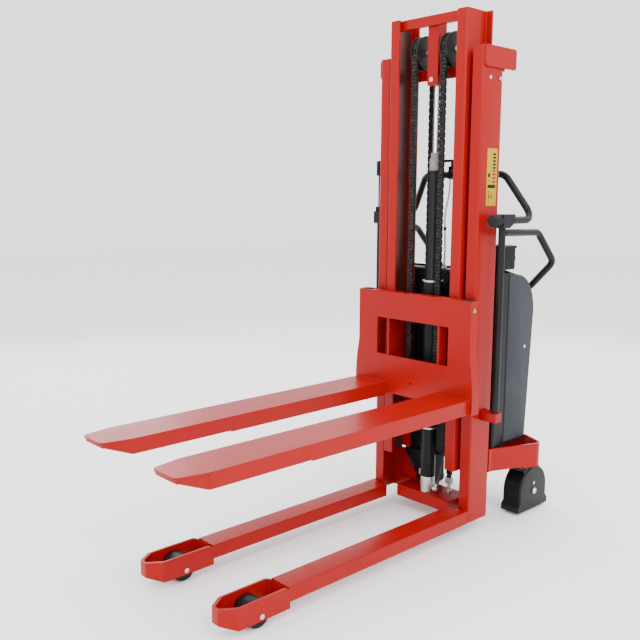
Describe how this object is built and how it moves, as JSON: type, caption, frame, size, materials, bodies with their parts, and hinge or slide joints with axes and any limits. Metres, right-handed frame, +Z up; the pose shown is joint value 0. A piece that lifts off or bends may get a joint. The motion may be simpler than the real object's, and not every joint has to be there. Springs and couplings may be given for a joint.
{
  "type": "walkie stacker",
  "caption": "Walk-behind stacker: two-stage lifting mast with roller carriage and forks over straddle legs, swivel castors, tube handles and a covered power unit at the rear.",
  "frame": {"origin": "centre of the footprint on the floor", "axes": "+Z up, +Y towards the operator and away from the fork tips, X across the machine"},
  "size_m": [0.6192, 1.733, 1.86],
  "materials": {
    "red_paint": "glossy red enamel",
    "black_paint": "satin black enamel",
    "bare_steel": "turned bare steel",
    "polished_rod": "hard chrome",
    "roller_steel": "oiled dark steel",
    "chain_steel": "greased leaf chain",
    "black_nylon": "smooth dark nylon",
    "black_plastic": "moulded black",
    "grip_rubber": "soft black rubber",
    "grey_cover": "grained grey",
    "stop_red": "red push button",
    "hose_rubber": "black hose",
    "cable_grey": "light grey sheath"
  },
  "bodies": {
    "chassis": {"legs": "red_paint", "load_yokes": "red_paint", "base_crossbeam": "red_paint", "cylinder_seat": "red_paint", "outer_mast_left": "red_paint", "outer_mast_right": "red_paint", "mast_top_plates": "red_paint", "rear_frame": "red_paint", "pole_brackets": "red_paint", "cylinder_barrel": "black_paint", "front_casing": "black_paint", "handle_poles": "black_paint", "handle_clamps": "black_paint", "upper_handle": "black_paint", "lower_handle": "black_paint", "lever_bracket": "black_paint", "pump_unit": "black_paint", "cylinder_foot": "bare_steel", "cylinder_gland": "bare_steel", "load_axles": "bare_steel", "castor_plates": "bare_steel", "frame_bolts": "bare_steel", "rear_chain_studs": "bare_steel", "sleeve_rings": "bare_steel", "line_fittings": "bare_steel", "rear_chains": "chain_steel", "control_pod": "black_plastic", "batteries": "black_plastic", "handle_grip": "grip_rubber", "rear_cover": "grey_cover", "lift_hose": "hose_rubber", "control_cable": "cable_grey"},
    "inner_mast": {"inner_mast_left": "red_paint", "inner_mast_right": "red_paint", "mast_head": "red_paint", "mast_head_pins": "bare_steel", "lift_rod": "polished_rod", "chain_wraps": "chain_steel"},
    "carriage": {"carriage_frame": "red_paint", "carriage_caps": "black_plastic", "front_chain_studs": "bare_steel", "fork_left": "red_paint", "fork_right": "red_paint", "front_chains": "chain_steel"},
    "load_roller_left": {"load_roller_left": "black_nylon"},
    "load_roller_right": {"load_roller_right": "black_nylon"},
    "mast_rollers": {"mast_rollers": "roller_steel"},
    "chain_sheaves": {"chain_sheaves": "roller_steel"},
    "carriage_rollers_lower": {"carriage_rollers_lower": "roller_steel"},
    "carriage_rollers_upper": {"carriage_rollers_upper": "roller_steel"},
    "castor_wheel_left": {"castor_wheel_left": "black_nylon"},
    "castor_wheel_right": {"castor_wheel_right": "black_nylon"},
    "control_lever": {"control_lever": "black_paint"},
    "lowering_stick": {"lowering_stick": "black_plastic"},
    "stop_button": {"stop_button": "stop_red"},
    "key_switch": {"key_switch": "bare_steel"},
    "castor_left": {"castor_body_left": "black_paint", "castor_bolts_left": "bare_steel"},
    "castor_right": {"castor_body_right": "black_paint", "castor_bolts_right": "bare_steel"}
  },
  "joints": [
    {"name": "mast_lift", "type": "slide", "parent": "chassis", "child": "inner_mast", "axis": [0, 0, 1], "range_m": [-0.2115, 0.885], "deforming": ["rear_chains"]},
    {"name": "carriage_lift", "type": "slide", "parent": "inner_mast", "child": "carriage", "axis": [0, 0, 1], "range_m": [-0.2115, 0.885], "deforming": ["front_chains"]},
    {"name": "sheave_spin", "type": "hinge", "parent": "inner_mast", "child": "chain_sheaves", "pos_m": [0, 0.4355, 1.742], "axis": [1, 0, 0], "range_deg": [-1200, 1200]},
    {"name": "mast_roller_spin", "type": "hinge", "parent": "inner_mast", "child": "mast_rollers", "pos_m": [0, 0.44315, 0.289], "axis": [1, 0, 0], "range_deg": [-1200, 1200]},
    {"name": "carriage_roller_lower_spin", "type": "hinge", "parent": "carriage", "child": "carriage_rollers_lower", "pos_m": [0, 0.42665, 0.53], "axis": [1, 0, 0], "range_deg": [-1200, 1200]},
    {"name": "carriage_roller_upper_spin", "type": "hinge", "parent": "carriage", "child": "carriage_rollers_upper", "pos_m": [0, 0.42665, 0.8], "axis": [1, 0, 0], "range_deg": [-1200, 1200]},
    {"name": "load_roller_left_spin", "type": "hinge", "parent": "chassis", "child": "load_roller_left", "pos_m": [-0.19305, -0.5815, 0.04], "axis": [1, 0, 0], "continuous": true},
    {"name": "castor_left_swivel", "type": "hinge", "parent": "chassis", "child": "castor_left", "pos_m": [-0.225, 0.7205, 0.19], "axis": [0, 0, 1], "continuous": true},
    {"name": "castor_wheel_left_spin", "type": "hinge", "parent": "castor_left", "child": "castor_wheel_left", "pos_m": [-0.225, 0.6745, 0.082], "axis": [1, 0, 0], "continuous": true},
    {"name": "load_roller_right_spin", "type": "hinge", "parent": "chassis", "child": "load_roller_right", "pos_m": [0.19305, -0.5815, 0.04], "axis": [1, 0, 0], "continuous": true},
    {"name": "castor_right_swivel", "type": "hinge", "parent": "chassis", "child": "castor_right", "pos_m": [0.225, 0.7205, 0.19], "axis": [0, 0, 1], "continuous": true},
    {"name": "castor_wheel_right_spin", "type": "hinge", "parent": "castor_right", "child": "castor_wheel_right", "pos_m": [0.225, 0.7665, 0.082], "axis": [1, 0, 0], "continuous": true},
    {"name": "control_lever_tilt", "type": "hinge", "parent": "chassis", "child": "control_lever", "pos_m": [-0.055, 0.6035, 1.334], "axis": [1, 0, 0], "range_deg": [-12, 12], "stiffness_Nm_per_rad": 0.8},
    {"name": "lowering_stick_tilt", "type": "hinge", "parent": "chassis", "child": "lowering_stick", "pos_m": [-0.289, 0.4425, 1.177], "axis": [1, 0, 0], "range_deg": [-25, 25], "stiffness_Nm_per_rad": 2},
    {"name": "stop_button_press", "type": "slide", "parent": "chassis", "child": "stop_button", "axis": [0, -1, 0], "range_m": [0, 0.006], "stiffness_N_per_m": 600},
    {"name": "key_turn", "type": "hinge", "parent": "chassis", "child": "key_switch", "pos_m": [0.122, 0.6435, 1.002], "axis": [0, 1, 0], "range_deg": [0, 60]}
  ],
  "couplings": [
    {"joint": "carriage_lift", "follows": "mast_lift", "ratio": 1},
    {"joint": "sheave_spin", "follows": "mast_lift", "rad_per_m": -20},
    {"joint": "mast_roller_spin", "follows": "mast_lift", "rad_per_m": -19.98},
    {"joint": "carriage_roller_lower_spin", "follows": "mast_lift", "rad_per_m": -20.305},
    {"joint": "carriage_roller_upper_spin", "follows": "mast_lift", "rad_per_m": 20.305}
  ]
}
